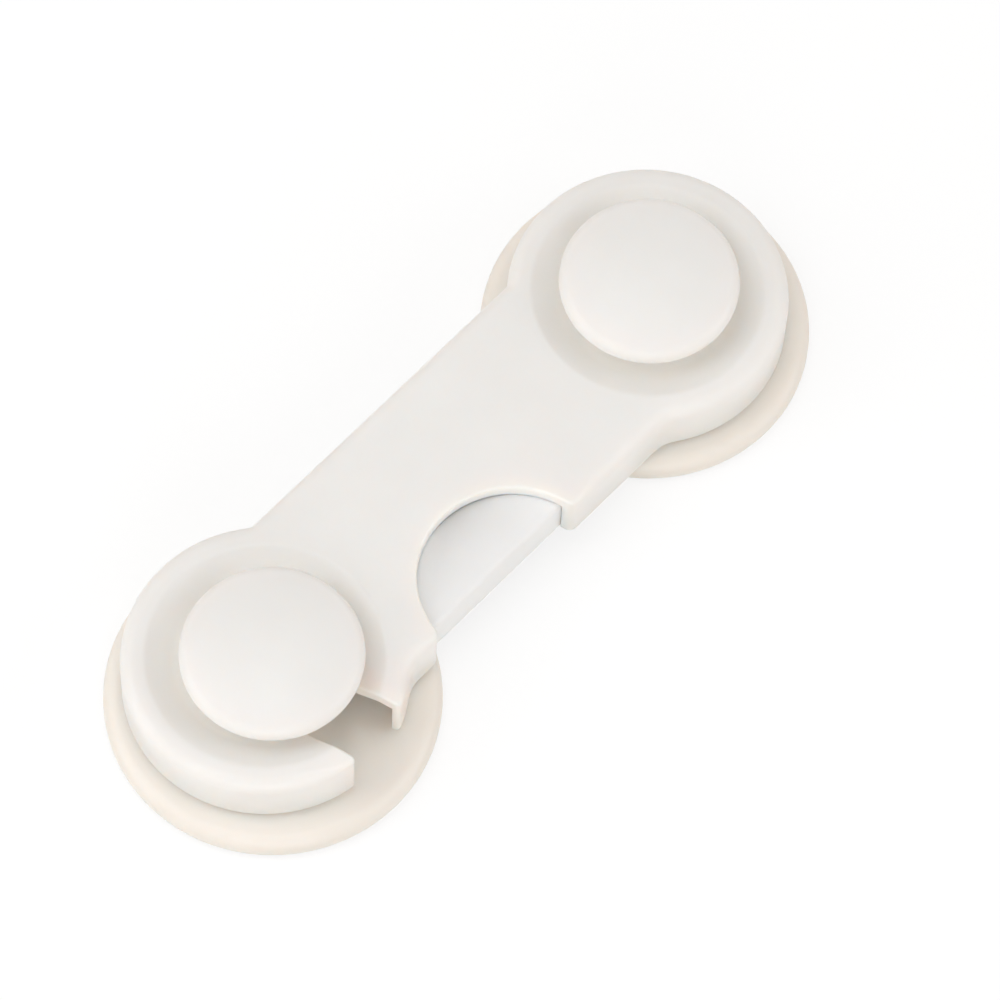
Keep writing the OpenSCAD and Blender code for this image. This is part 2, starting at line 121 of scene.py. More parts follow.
# Arm
ARM_TURN = 1.0
END_R = 17.8
BAR_HALF = 13.6
ARM_EDGE = 1.7
CORNER_EDGE = 0.55
CUT_EDGE = 0.35
NEAR_FILLET = 5.0
FAR_FILLET = 1.2
JAW_CORNER = 0.6
JAW_EASE_DEGREES = 20
WINDOW_CORNER = 1.2
WINDOW_EASE = 4
INNER_CORNER = 0.05
WALL = 1.5
TOP = 1.8
SLOT_HALF = 4.2
POCKET_DEPTH = 6.0
POCKET_WALL = 1.0
CATCH_ROOM = 0.8
WINDOW_R = 12.0
WINDOW_FROM_LATCH = 28.75
WINDOW_OUTSIDE = 1.2
WINDOW_AT = Vector((LATCH.x + WINDOW_FROM_LATCH, -BAR_HALF - WINDOW_OUTSIDE))
DISH_R = 15.2
DISH_DEPTH = 1.8
DISH_SLOPE = math.radians(25)
DISH_EDGE = 1.6
DISH_FLOOR_FILLET = 3.0
BORE_R = 4.08
BORE_EDGE = 0.25
FOOT_EDGE = 0.25
HUB_R = 7.5
BOSS_R = 2.5
BOSS_HOLE_R = 0.9
BOSS_HOLE_TOP = 8.15
END_CEILING = ARM_Z1 - DISH_DEPTH - TOP
BAR_CEILING = ARM_Z1 - TOP
BOSS_FROM_PIVOT = 20.5
BOSS_ASIDE = 7.5
BOSS_FROM_LATCH = 11
LATCH_BOSS_ASIDE = 4.65
BOSSES = [
    Vector((PIVOT.x - BOSS_FROM_PIVOT, BOSS_ASIDE)),
    Vector((PIVOT.x - BOSS_FROM_PIVOT, -BOSS_ASIDE)),
    Vector((LATCH.x - BOSS_FROM_LATCH, LATCH_BOSS_ASIDE)),
]
PIN_R = 1.5
PIN_SEAT = 1.0
RIDGE_EDGE = 0.7
FRONT_FOOT_EDGE = 0.3
OVERCUT = 1.0

# Spring
SPRING_R = 1.8
WIRE_R = 0.25
SPRING_TURNS = 7
WIRE_SIDES = 12
WIRE_RINGS_PER_TURN = 28

# Fineness
ARC_STEP = 0.45
LINE_STEP = 1.2
ARC_MIN = 10
RIM_STEPS = 8
LATHE_SIDES = 192
FILLET_STEPS = 10
FLOOR_RINGS = 4
FLOOR_FILLET_RINGS = 7
SLOPE_RINGS = 6
LIP_RINGS = 8
FLOOR_INNER_MARGIN = 1.2
FLOOR_OUTER_MARGIN = 0.8
POINT_GAP = 0.14
BORE_GAP = 0.3
POINTS_AT_ONCE = 2000

# Tolerances
WELD = 0.001
NEARLY = 0.01
PLAN_MERGE = 1e-6
FLAT_ANGLE = math.radians(0.5)
SHARP_DEGREES = 38
WIRE_SHARP_DEGREES = 60


def turned_in_plan(x, y, degrees):
    """A point turned about the pivot."""
    turn = math.radians(degrees)
    dx, dy = x - PIVOT.x, y - PIVOT.y
    return Vector((
        PIVOT.x + dx * math.cos(turn) - dy * math.sin(turn),
        PIVOT.y + dx * math.sin(turn) + dy * math.cos(turn),
    ))


def in_arm(x, y):
    """Where a point of the arm stands, with the arm open by its play."""
    return turned_in_plan(x, y, -ARM_TURN)


def out_of_arm(x, y):
    """A point of the frame, in the arm's own plan."""
    return turned_in_plan(x, y, ARM_TURN)


# Mesh helpers


def make_object(name, bm, sharp=SHARP_DEGREES):
    """A new smooth object from a bmesh in millimetres, with edges sharper than an angle kept."""
    bmesh.ops.recalc_face_normals(bm, faces=bm.faces)
    bm.transform(Matrix.Scale(MM, 4))
    mesh = bpy.data.meshes.new(name)
    bm.to_mesh(mesh)
    bm.free()
    obj = bpy.data.objects.new(name, mesh)
    bpy.context.scene.collection.objects.link(obj)
    finish_shading(mesh, sharp)
    return obj


def finish_shading(mesh, sharp):
    """Smooth shading, apart from edges sharper than an angle in degrees."""
    mesh.polygons.foreach_set("use_smooth", [True] * len(mesh.polygons))
    mesh.set_sharp_from_angle(angle=math.radians(sharp))
    mesh.update()


def add_ring(bm, points):
    return [bm.verts.new(p) for p in points]


def bridge(bm, a, b):
    """Quads between two rings of as many points."""
    count = len(a)
    for i in range(count):
        j = (i + 1) % count
        bm.faces.new((a[i], a[j], b[j], b[i]))


def rounded(corners):
    """A profile through corners (r, z, rounding), each corner an arc that touches both its sides."""
    profile = []
    count = len(corners)
    for i, (r, z, rounding) in enumerate(corners):
        here = Vector((r, z))
        before = Vector(corners[i - 1][:2]) - here
        after = Vector(corners[(i + 1) % count][:2]) - here
        if rounding == 0:
            profile.append(here)
            continue
        before.normalize()
        after.normalize()
        half = before.angle(after) / 2
        centre = here + (before + after).normalized() * rounding / math.sin(half)
        start = here + before * rounding / math.tan(half) - centre
        sweep = start.angle_signed(here + after * rounding / math.tan(half) - centre)
        for step in range(FILLET_STEPS + 1):
            turned = Matrix.Rotation(-sweep * step / FILLET_STEPS, 2) @ start
            profile.append(centre + turned)
    return profile


def lathe(name, profile, at, closed):
    """A turned solid about a vertical axis. An open profile starts and ends on the axis."""
    bm = bmesh.new()
    turns = [2 * math.pi * i / LATHE_SIDES for i in range(LATHE_SIDES)]
    body = profile if closed else profile[1:-1]
    rings = [
        add_ring(bm, [(at.x + p.x * math.cos(t), at.y + p.x * math.sin(t), p.y) for t in turns])
        for p in body
    ]
    for a, b in zip(rings, rings[1:]):
        bridge(bm, a, b)
    if closed:
        bridge(bm, rings[-1], rings[0])
    else:
        for ring, end in ((rings[0], profile[0]), (rings[-1], profile[-1])):
            pole = bm.verts.new((at.x, at.y, end.y))
            for i in range(LATHE_SIDES):
                bm.faces.new((ring[i], ring[(i + 1) % LATHE_SIDES], pole))
    return make_object(name, bm)


# Plan of the arm: points with an outward normal and an edge rounding


def eased(edges, share):
    """An edge rounding that goes smoothly from a first to a second value."""
    ease = share * share * (3 - 2 * share)
    return edges[0] + (edges[1] - edges[0]) * ease


def arc(centre, radius, start, end, edges=(0, 0)):
    """Along a circle, from one angle to another. Clockwise, the material is outside the circle."""
    sweep = math.radians(end - start)
    count = max(ARC_MIN, math.ceil(radius * abs(sweep) / ARC_STEP))
    sense = 1 if sweep > 0 else -1
    points = []
    for i in range(count):
        share = i / count
        a = math.radians(start) + sweep * share
        radial = Vector((math.cos(a), math.sin(a)))
        points.append((centre + radial * radius, radial * sense, eased(edges, share)))
    return points


def line(start, end, edges=(0, 0)):
    """Straight from one point to another, with the material on the left."""
    run = end - start
    count = max(1, math.ceil(run.length / LINE_STEP))
    normal = Vector((run.y, -run.x)).normalized()
    points = []
    for i in range(count):
        share = i / count
        points.append((start + run * share, normal, eased(edges, share)))
    return points


def angle_of(v):
    return math.degrees(math.atan2(v.y, v.x)) % 360


def meeting(centre_a, radius_a, centre_b, radius_b):
    """The lower of the two points at those distances from two centres on one level."""
    apart = centre_b.x - centre_a.x
    along = (radius_a**2 - radius_b**2 + apart**2) / (2 * apart)
    return centre_a + Vector((along, -math.sqrt(radius_a**2 - along**2)))


def junction(end_r, half, fillet):
    """Where the fillet between a round end and the bar has its centre, and the angle it lies at."""
    across = half + fillet
    along = math.sqrt((end_r + fillet) ** 2 - across**2)
    return along, across, math.degrees(math.atan2(across, along))


def arm_outline(inset=0.0, window=True, fillets=(NEAR_FILLET, FAR_FILLET), corner=JAW_CORNER):
    """The arm's outline, counter-clockwise, drawn in by an inset, with its slot and window."""
    end_r = END_R - inset
    half = BAR_HALF - inset
    slot = SLOT_HALF + inset
    near, far = fillets
    along, across, near_turn = junction(end_r, half, near)
    near_left = Vector((LATCH.x + along, -across))
    near_right = Vector((PIVOT.x - along, -across))
    along, across, far_turn = junction(end_r, half, far)
    far_right = Vector((PIVOT.x - along, across))
    far_left = Vector((LATCH.x + along, across))
    outer, mid, cut = ARM_EDGE, CORNER_EDGE, CUT_EDGE
    left_jaw = meeting(LATCH, end_r - corner, PIVOT, SPACING + slot + corner)
    right_jaw = meeting(LATCH, end_r - corner, PIVOT, SPACING - slot - corner)
    left_turn = angle_of(left_jaw - LATCH)
    right_turn = angle_of(right_jaw - LATCH)
    left_wall = angle_of(left_jaw - PIVOT)
    right_wall = angle_of(right_jaw - PIVOT)
    jaw_start = left_turn - JAW_EASE_DEGREES
    loop = arc(LATCH, end_r, right_turn, 360 - near_turn, (mid, outer))
    loop += arc(near_left, near, 180 - near_turn, 90, (outer, outer))
    if window:
        reach = WINDOW_R + WINDOW_CORNER
        rise = -half + WINDOW_CORNER - WINDOW_AT.y
        run = math.sqrt(reach**2 - rise**2)
        lean = math.degrees(math.atan2(rise, run))
        left = Vector((WINDOW_AT.x - run, WINDOW_AT.y + rise))
        right = Vector((WINDOW_AT.x + run, WINDOW_AT.y + rise))
        past = Vector((right.x + WINDOW_EASE, -half))
        loop += line(Vector((near_left.x, -half)), Vector((left.x, -half)), (outer, mid))
        loop += arc(left, WINDOW_CORNER, 270, 360 - lean, (mid, cut))
        loop += arc(WINDOW_AT, WINDOW_R, 180 - lean, lean, (cut, cut))
        loop += arc(right, WINDOW_CORNER, 180 + lean, 270, (cut, mid))
        loop += line(Vector((right.x, -half)), past, (mid, outer))
        loop += line(past, Vector((near_right.x, -half)), (outer, outer))
    else:
        loop += line(Vector((near_left.x, -half)), Vector((near_right.x, -half)), (outer, outer))
    loop += arc(near_right, near, 90, near_turn, (outer, outer))
    loop += arc(PIVOT, end_r, 180 + near_turn, 540 - far_turn, (outer, outer))
    loop += arc(far_right, far, 360 - far_turn, 270, (outer, outer))
    loop += line(Vector((far_right.x, half)), Vector((far_left.x, half)), (outer, outer))
    loop += arc(far_left, far, 270, 180 + far_turn, (outer, outer))
    loop += arc(LATCH, end_r, far_turn, jaw_start, (outer, outer))
    loop += arc(LATCH, end_r, jaw_start, left_turn, (outer, mid))
    loop += arc(left_jaw, corner, left_turn, 180 + left_wall, (mid, cut))
    loop += arc(PIVOT, SPACING + slot, left_wall, 180, (cut, cut))
    loop += arc(LATCH, slot, 180, 0, (cut, cut))
    loop += arc(PIVOT, SPACING - slot, 180, right_wall, (cut, cut))
    loop += arc(right_jaw, corner, right_wall, right_turn, (cut, mid))
    return loop


def circle_hole(centre, radius, edge=0.0):
    return arc(centre, radius, 360, 0, (edge, edge))


# Top surface of the arm

lip_run = DISH_EDGE * math.sin(DISH_SLOPE)
lip_fall = DISH_EDGE * (1 - math.cos(DISH_SLOPE))
slope_out = DISH_R - lip_run
floor_r = slope_out - (DISH_DEPTH - lip_fall) / math.tan(DISH_SLOPE)
floor_tangent = DISH_FLOOR_FILLET * math.tan(DISH_SLOPE / 2)
fillet_in = floor_r - floor_tangent
fillet_out = floor_r + floor_tangent * math.cos(DISH_SLOPE)


def dish_height(r):
    """Height of the arm's top at a distance from a post."""
    if r >= DISH_R:
        return ARM_Z1
    if r >= slope_out:
        return ARM_Z1 - DISH_EDGE + math.sqrt(DISH_EDGE**2 - (DISH_R - r) ** 2)
    low = ARM_Z1 - DISH_DEPTH
    if r >= fillet_out:
        return low + (r - floor_r) * math.tan(DISH_SLOPE)
    if r >= fillet_in:
        return low + DISH_FLOOR_FILLET - math.sqrt(DISH_FLOOR_FILLET**2 - (r - fillet_in) ** 2)
    return low


def arm_top(p):
    return min(dish_height((p - LATCH).length), dish_height((p - PIVOT).length))


def rim(bm, loop, height, foot_z, foot_edge):
    """Rings from inside the rounded top edge, down the wall, to inside the foot's edge."""
    rings = []
    for k in range(RIM_STEPS, -1, -1):
        a = math.pi / 2 * k / RIM_STEPS
        points = []
        for p, normal, edge in loop:
            q = p - normal * edge * (1 - math.cos(a))
            points.append((q.x, q.y, height(q) - edge * (1 - math.sin(a))))
        rings.append(add_ring(bm, points))
    for k in range(0, RIM_STEPS + 1, RIM_STEPS // 2):
        a = math.pi / 2 * k / RIM_STEPS
        points = []
        for p, normal, edge in loop:
            q = p - normal * foot_edge * (1 - math.cos(a))
            points.append((q.x, q.y, foot_z + foot_edge * (1 - math.sin(a))))
        rings.append(add_ring(bm, points))
    for a, b in zip(rings, rings[1:]):
        bridge(bm, a, b)
    return rings[0], rings[-1]


def inside(points, ring):
    """Which of an array of points lie inside a closed ring of points."""
    x, y = points[:, 0][:, None], points[:, 1][:, None]
    x0, y0 = ring[:, 0][None], ring[:, 1][None]
    x1, y1 = np.roll(x0, -1, 1), np.roll(y0, -1, 1)
    crosses = (y0 > y) != (y1 > y)
    rise = np.where(y1 == y0, 1.0, y1 - y0)
    at = x0 + (y - y0) / rise * (x1 - x0)
    return (np.sum(crosses & (x < at), 1) % 2) == 1


def fill(bm, outer, holes, height, extra=()):
    """Triangles between an outer ring and its holes, through extra points, at a height."""
    verts = list(outer)
    edges = [(i, (i + 1) % len(outer)) for i in range(len(outer))]
    for hole in holes:
        first = len(verts)
        verts += hole
        edges += [(first + i, first + (i + 1) % len(hole)) for i in range(len(hole))]
    for p in extra:
        verts.append(bm.verts.new((p[0], p[1], height(Vector(p)))))
    flat = [Vector((v.co.x, v.co.y)) for v in verts]
    _, _, faces, origins, _, _ = delaunay_2d_cdt(flat, edges, [], 1, PLAN_MERGE)
    hole_rings = [np.array([(v.co.x, v.co.y) for v in hole]) for hole in holes]
    triangles = [[verts[origins[i][0]] for i in face] for face in faces]
    middles = np.array([[sum(v.co[k] for v in t) / 3 for k in (0, 1)] for t in triangles])
    out = np.zeros(len(triangles), bool)
    for ring in hole_rings:
        out |= inside(middles, ring)
    for triangle, skip in zip(triangles, out):
        if not skip:
            bm.faces.new(triangle)


def dish_points(ring):
    """Points on circles around both posts, finest where the dish curves, inside a ring."""
    floor_in = BORE_R + FLOOR_INNER_MARGIN
    floor_out = fillet_in - FLOOR_OUTER_MARGIN
    radii = list(np.linspace(floor_in, floor_out, FLOOR_RINGS))
    radii += list(np.linspace(fillet_in, fillet_out, FLOOR_FILLET_RINGS))
    radii += list(np.linspace(fillet_out, slope_out, SLOPE_RINGS)[1:-1])
    radii += list(np.linspace(slope_out, DISH_R, LIP_RINGS))
    points = []
    for centre in (LATCH, PIVOT):
        for n, r in enumerate(radii):
            count = int(2 * math.pi * r / ARC_STEP)
            for i in range(count):
                a = 2 * math.pi * (i + 0.5 * (n % 2)) / count
                points.append((centre.x + r * math.cos(a), centre.y + r * math.sin(a)))
    points = np.array(points)
    points = points[inside(points, ring)]
    apart = np.zeros(len(points))
    for start in range(0, len(points), POINTS_AT_ONCE):
        some = slice(start, start + POINTS_AT_ONCE)
        gaps = np.linalg.norm(points[some][:, None] - ring[None], axis=2)
        apart[some] = gaps.min(1)
    return [tuple(p) for p in points[apart > POINT_GAP]]


def level(z):
    """A height that is the same all over."""
    return lambda p: z


def prism(name, outer, holes, z0, top, extra=()):
    """A solid from a flat foot to a top's height, over an outline with holes, as a cutting tool."""
    bm = bmesh.new()
    lows, highs = [], []
    for loop in [outer, *holes]:
        low = add_ring(bm, [(p.x, p.y, z0) for p, _, _ in loop])
        high = add_ring(bm, [(p.x, p.y, top(p)) for p, _, _ in loop])
        bridge(bm, low, high)
        lows.append(low)
        highs.append(high)
    fill(bm, lows[0], lows[1:], level(z0))
    fill(bm, highs[0], highs[1:], top, extra)
    return make_object(name, bm)


def bar_hollow():
    """Outline of the higher hollow under the bar, between the two round ends."""
    half = BAR_HALF - WALL
    r = END_R - WALL / 2
    turn = math.degrees(math.asin(half / r))
    along = r * math.cos(math.radians(turn))
    loop = line(Vector((LATCH.x + along, -half)), Vector((PIVOT.x - along, -half)))
    loop += arc(PIVOT, r, 180 + turn, 180 - turn)
    loop += line(Vector((PIVOT.x - along, half)), Vector((LATCH.x + along, half)))
    loop += arc(LATCH, r, turn, -turn)
    return loop


def cut(obj, tools, material):
    """Cuts tools from an object and removes them. The faces they leave take a material."""
    for tool in tools:
        dress(tool, material)
        step = obj.modifiers.new("cut", "BOOLEAN")
        step.material_mode = "TRANSFER"
        step.operation = "DIFFERENCE"
        step.solver = "EXACT"
        step.object = tool
    graph = bpy.context.evaluated_depsgraph_get()
    done = bpy.data.meshes.new_from_object(obj.evaluated_get(graph))
    obj.modifiers.clear()
    obj.data = done
    for tool in tools:
        bpy.data.objects.remove(tool)


def catch_pocket():
    """The pocket beside the slot that the catch leaf works in, open below, under an even roof."""
    end_r = END_R - POCKET_WALL
    half = BAR_HALF - POCKET_WALL
    back_r = SPACING - SLOT_HALF - POCKET_DEPTH
    top_y = out_of_arm(leaf_low.x, leaf_high.y).y + CATCH_ROOM
    turn = math.degrees(math.asin(half / end_r))
    low = 180 + math.degrees(math.asin(half / back_r))
    high = 180 + math.degrees(math.asin(-top_y / back_r))
    start = Vector((LATCH.x, top_y))
    corner = Vector((LATCH.x + math.sqrt(end_r**2 - half**2), -half))
    back = arc(PIVOT, back_r, low, high)
    loop = line(start, Vector((LATCH.x, -end_r)))
    loop += arc(LATCH, end_r, 270, 360 - turn)
    loop += line(corner, back[0][0])
    loop += back
    loop += line(PIVOT + Vector((-math.sqrt(back_r**2 - top_y**2), top_y)), start)
    ring = np.array([tuple(p) for p, _, _ in loop])
    return prism("pocket_tool", loop, [], ARM_Z0 - OVERCUT, pocket_roof, dish_points(ring))


def pocket_roof(p):
    return dish_height((p - LATCH).length) - TOP


def arm_shell():
    """The arm's cover: one smooth skin over its outline, hollowed from below."""
    bm = bmesh.new()
    top_ring, foot_ring = rim(bm, arm_outline(), arm_top, ARM_Z0, FOOT_EDGE)
    bore_top, bore_foot = rim(bm, circle_hole(PIVOT, BORE_R, BORE_EDGE), arm_top, ARM_Z0, FOOT_EDGE)
    ring = np.array([(v.co.x, v.co.y) for v in top_ring])
    clear_r = BORE_R + BORE_EDGE + BORE_GAP
    extra = [p for p in dish_points(ring) if (Vector(p) - PIVOT).length > clear_r]
    fill(bm, top_ring, [bore_top], arm_top, extra)
    fill(bm, foot_ring, [bore_foot], level(ARM_Z0))
    shell = make_object("arm_shell", bm)
    dress(shell, ivory)
    posts = [circle_hole(PIVOT, HUB_R)] + [circle_hole(at, BOSS_R) for at in BOSSES]
    foot = ARM_Z0 - OVERCUT
    inner = arm_outline(WALL, False, (INNER_CORNER, INNER_CORNER), INNER_CORNER)
    low = prism("low_tool", inner, posts, foot, level(END_CEILING))
    near = [circle_hole(at, BOSS_R) for at in BOSSES[:2]]
    high = prism("high_tool", bar_hollow(), near, foot + OVERCUT / 2, level(BAR_CEILING))
    pin_hole = arc(out_of_arm(*PIN), PIN_R, 0, 360)
    seat = prism("seat_tool", pin_hole, [], END_CEILING - OVERCUT, level(END_CEILING + PIN_SEAT))
    tools = [low, high, seat, catch_pocket()]
    for n, at in enumerate(BOSSES):
        pilot = arc(at, BOSS_HOLE_R, 0, 360)
        around = arc(at, BOSS_R + WELD, 0, 360)
        tools.append(prism(f"pilot_{n}", pilot, [], foot, level(BOSS_HOLE_TOP)))
        tools.append(prism(f"boss_foot_{n}", around, [], foot, level(PLATE_Z1)))
    # the faces the cuts leave inside the arm carry the painted warm shade
    cut(shell, tools, ivory_painted_warm_shade)
    turn = Matrix.Rotation(-math.radians(ARM_TURN), 4, "Z")
    about = Matrix.Translation((PIVOT.x * MM, PIVOT.y * MM, 0))
    shell.data.transform(about @ turn @ about.inverted())
    finish_shading(shell.data, SHARP_DEGREES)
    # the mask of the painted light that makes the dishes paler and warmer
    mask_dish_light(shell.data)
    return shell


def mask_dish_light(mesh):
    """Stores, as the mask of the painted light in the dishes, how far each point of the arm lies down in a dish: 0
    on the top, 1 on the floor.
    """
    layer = mesh.attributes.new("recess", "FLOAT", "POINT")
    for vertex, mark in zip(mesh.vertices, layer.data):
        at = vertex.co.xy / MM
        near = min((at - LATCH).length, (at - PIVOT).length)
        depth = (ARM_Z1 - vertex.co.z / MM) / DISH_DEPTH
        mark.value = min(depth, 1.0) if near < DISH_R else 0.0


def lever_shell():
    """The lever with its press pad's front edges rounded, the upper one most."""
    bm = bmesh.new()
    bm.from_mesh(nodes["release_lever"].data)
    bm.transform(Matrix.Scale(1 / MM, 4))
    bmesh.ops.remove_doubles(bm, verts=bm.verts, dist=WELD)
    bmesh.ops.dissolve_limit(bm, angle_limit=FLAT_ANGLE, verts=bm.verts, edges=bm.edges)
    spots = {v: out_of_arm(v.co.x, v.co.y).y for v in bm.verts}
    front = min(spots.values())
    for z, edge in ((lever_high.z, RIDGE_EDGE), (lever_low.z, FRONT_FOOT_EDGE)):
        found = [
            e for e in bm.edges
            if all(abs(spots.get(v, 0) - front) < NEARLY and abs(v.co.z - z) < NEARLY for v in e.verts)
        ]
        bmesh.ops.bevel(
            bm, geom=found, offset=edge, offset_type="OFFSET", segments=FILLET_STEPS, profile=0.5,
            affect="EDGES", clamp_overlap=False,
        )
    return make_object("lever_shell", bm)


# Posts


def base_profile():
    """Closed profile of a base with its recess, screw hole and hollow post."""
    return rounded([
        (SCREW_HOLE_R, SCREW_SEAT, 0),
        (SCREW_HEAD_R, SCREW_SEAT, 0),
        (SCREW_HEAD_R, RECESS_TOP, SMALL_EDGE),
        (RECESS_R, RECESS_TOP, SMALL_EDGE),
        (RECESS_R, BASE_Z0, SMALL_EDGE),
        (BASE_R, BASE_Z0, BASE_FOOT_EDGE),
        (BASE_R, BASE_TOP, BASE_EDGE),
        (SEAT_R, BASE_TOP, SMALL_EDGE),
        (SEAT_R, SEAT_TOP, SMALL_EDGE),
        (NECK_R, SEAT_TOP, 0),
        (NECK_R, NECK_TOP, 0),
        (NECK_BORE_R, NECK_TOP, 0),
        (NECK_BORE_R, POST_FLOOR, 0),
        (SCREW_HOLE_R, POST_FLOOR, 0),
    ])


def cap_profile(boss_r):
    """Crown, rim, underside, boss, stem and screw hole, from the axis to the axis."""
    rim_z = CAP_UNDERSIDE + CAP_UNDER
    rise = CAP_TOP - rim_z
    run = CAP_R - CAP_EDGE
    dome_r = (rise**2 + run**2 - CAP_EDGE**2) / (2 * (rise - CAP_EDGE))
    dome_z = CAP_TOP - dome_r
    blend = math.atan2(rim_z - dome_z, run)
    profile = []

    def sweep(centre, radius, start, end, steps):
        for i in range(steps + 1):
            a = start + (end - start) * i / steps
            profile.append(centre + radius * Vector((math.cos(a), math.sin(a))))

    sweep(Vector((0, dome_z)), dome_r, math.pi / 2, blend, 3 * FILLET_STEPS)
    profile.pop()
    sweep(Vector((run, rim_z)), CAP_EDGE, blend, 0, 2 * FILLET_STEPS)
    profile.pop()
    sweep(Vector((CAP_R - CAP_UNDER, rim_z)), CAP_UNDER, 0, -math.pi / 2, 2 * FILLET_STEPS)
    for r, z in (
        (boss_r, CAP_UNDERSIDE), (boss_r, NECK_TOP), (STEM_R, NECK_TOP), (STEM_R, STEM_Z0),
        (SCREW_HOLE_R, STEM_Z0), (SCREW_HOLE_R, STEM_HOLE_TOP), (0, STEM_HOLE_TOP),
    ):
        profile.append(Vector((r, z)))
    return profile


def foam_profile():
    """A die-cut foam disc, its edge a little drawn in at mid height."""
    r = (foam_high.x - foam_low.x) / 2
    height = foam_high.z - foam_low.z
    edge = []
    for i in range(2 * FILLET_STEPS + 1):
        share = i / (2 * FILLET_STEPS)
        drawn = FOAM_WAIST * math.sin(math.pi * share)
        z = foam_low.z + FOAM_CORNER + (height - 2 * FOAM_CORNER) * share
        edge.append(Vector((r - drawn, z)))
    return (
        [Vector((0, foam_low.z)), Vector((r - FOAM_CORNER, foam_low.z))]
        + edge
        + [Vector((r - FOAM_CORNER, foam_high.z)), Vector((0, foam_high.z))]
    )


def spring_wire():
    """The return spring as one round wire."""
    middle = (spring_low + spring_high) / 2
    axis_at = out_of_arm(middle.x, middle.y)
    coil_r = SPRING_R - WIRE_R
    rise = (spring_high.y - spring_low.y - 2 * WIRE_R) / SPRING_TURNS
    start = axis_at.y - rise * SPRING_TURNS / 2
    bm = bmesh.new()
    rings = []
    for i in range(SPRING_TURNS * WIRE_RINGS_PER_TURN + 1):
        share = i / WIRE_RINGS_PER_TURN
        a = 2 * math.pi * share
        points = []
        for k in range(WIRE_SIDES):
            side = 2 * math.pi * k / WIRE_SIDES
            r = coil_r + WIRE_R * math.cos(side)
            x = axis_at.x + r * math.cos(a)
            y = start + rise * share + WIRE_R * math.sin(side)
            at = in_arm(x, y)
            points.append((at.x, at.y, middle.z + r * math.sin(a)))
        rings.append(add_ring(bm, points))
    for a, b in zip(rings, rings[1:]):
        bridge(bm, a, b)
    bm.faces.new(rings[0])
    bm.faces.new(rings[-1])
    return make_object("spring_wire", bm, WIRE_SHARP_DEGREES)


# Materials

NOISE_LOW = 0.3
NOISE_HIGH = 0.7
FOAM_CELL = 0.28


def new_material(name):
    """A material, with its node tree, its shader and a source of object coordinates."""
    material = bpy.data.materials.new(name)
    material.use_nodes = True
    tree = material.node_tree
    shader = tree.nodes["Principled BSDF"]
    place = tree.nodes.new("ShaderNodeTexCoord")
    return material, tree, shader, place


def noise(tree, place, size_mm, detail):
    """Noise in object space, with features of about that size."""
    node = tree.nodes.new("ShaderNodeTexNoise")
    node.inputs["Scale"].default_value = 1 / (size_mm * MM)
    node.inputs["Detail"].default_value = detail
    tree.links.new(place.outputs["Object"], node.inputs["Vector"])
    return node


def spread(tree, source, low, high):
    """A noise's middle range turned into values from low to high."""
    node = tree.nodes.new("ShaderNodeMapRange")
    node.inputs["From Min"].default_value = NOISE_LOW
    node.inputs["From Max"].default_value = NOISE_HIGH
    node.inputs["To Min"].default_value = low
    node.inputs["To Max"].default_value = high
    tree.links.new(source.outputs["Fac"], node.inputs["Value"])
    return node


def two_tone(tree, shader, source, first, second):
    """A base colour that wanders between two tones."""
    mix = tree.nodes.new("ShaderNodeMix")
    mix.data_type = "RGBA"
    mix.inputs["A"].default_value = (*first, 1)
    mix.inputs["B"].default_value = (*second, 1)
    tree.links.new(spread(tree, source, 0, 1).outputs["Result"], mix.inputs["Factor"])
    tree.links.new(mix.outputs["Result"], shader.inputs["Base Color"])
    return mix


def paint_dish_light(tree, shader, tone, dish_light_tone):
    """Painted light: lets the tone go to a paler and warmer one where the mesh is marked as a recess, as if light
    came through the plastic into the dish.
    """
    mark = tree.nodes.new("ShaderNodeAttribute")
    mark.attribute_name = "recess"
    mix = tree.nodes.new("ShaderNodeMix")
    mix.data_type = "RGBA"
    mix.inputs["B"].default_value = (*dish_light_tone, 1)
    tree.links.new(mark.outputs["Fac"], mix.inputs["Factor"])
    tree.links.new(tone.outputs["Result"], mix.inputs["A"])
    tree.links.new(mix.outputs["Result"], shader.inputs["Base Color"])


def bumps(tree, shader, heights, strength, height_mm):
    """Fine relief from an output socket that gives heights."""
    node = tree.nodes.new("ShaderNodeBump")
    node.inputs["Strength"].default_value = strength
    node.inputs["Distance"].default_value = height_mm * MM
    tree.links.new(heights, node.inputs["Height"])
    tree.links.new(node.outputs["Normal"], shader.inputs["Normal"])


def plastic(name, first, second, rough, reach_mm=3.0, dish_light_tone=None):
    """Satin moulded plastic: faint mottle, uneven gloss, fine mould grain, light that spreads inside, and painted
    light that makes the arm's dishes paler and warmer where a dish tone is given.
    """
    material, tree, shader, place = new_material(name)
    mottle = noise(tree, place, size_mm=9, detail=2)
    tone = two_tone(tree, shader, mottle, first, second)
    # painted light: a paler, warmer tone down in the dishes
    if dish_light_tone:
        paint_dish_light(tree, shader, tone, dish_light_tone)
    patches = noise(tree, place, size_mm=2.5, detail=3)
    gloss = spread(tree, patches, low=rough - 0.04, high=rough + 0.05)
    tree.links.new(gloss.outputs["Result"], shader.inputs["Roughness"])
    grain = noise(tree, place, size_mm=0.35, detail=2)
    bumps(tree, shader, grain.outputs["Fac"], strength=0.25, height_mm=0.006)
    shader.subsurface_method = "BURLEY"
    shader.inputs["Subsurface Weight"].default_value = 1.0
    shader.inputs["Subsurface Radius"].default_value = (1.0, 0.5, 0.25)
    shader.inputs["Subsurface Scale"].default_value = reach_mm * MM
    shader.inputs["IOR"].default_value = 1.49
    return material


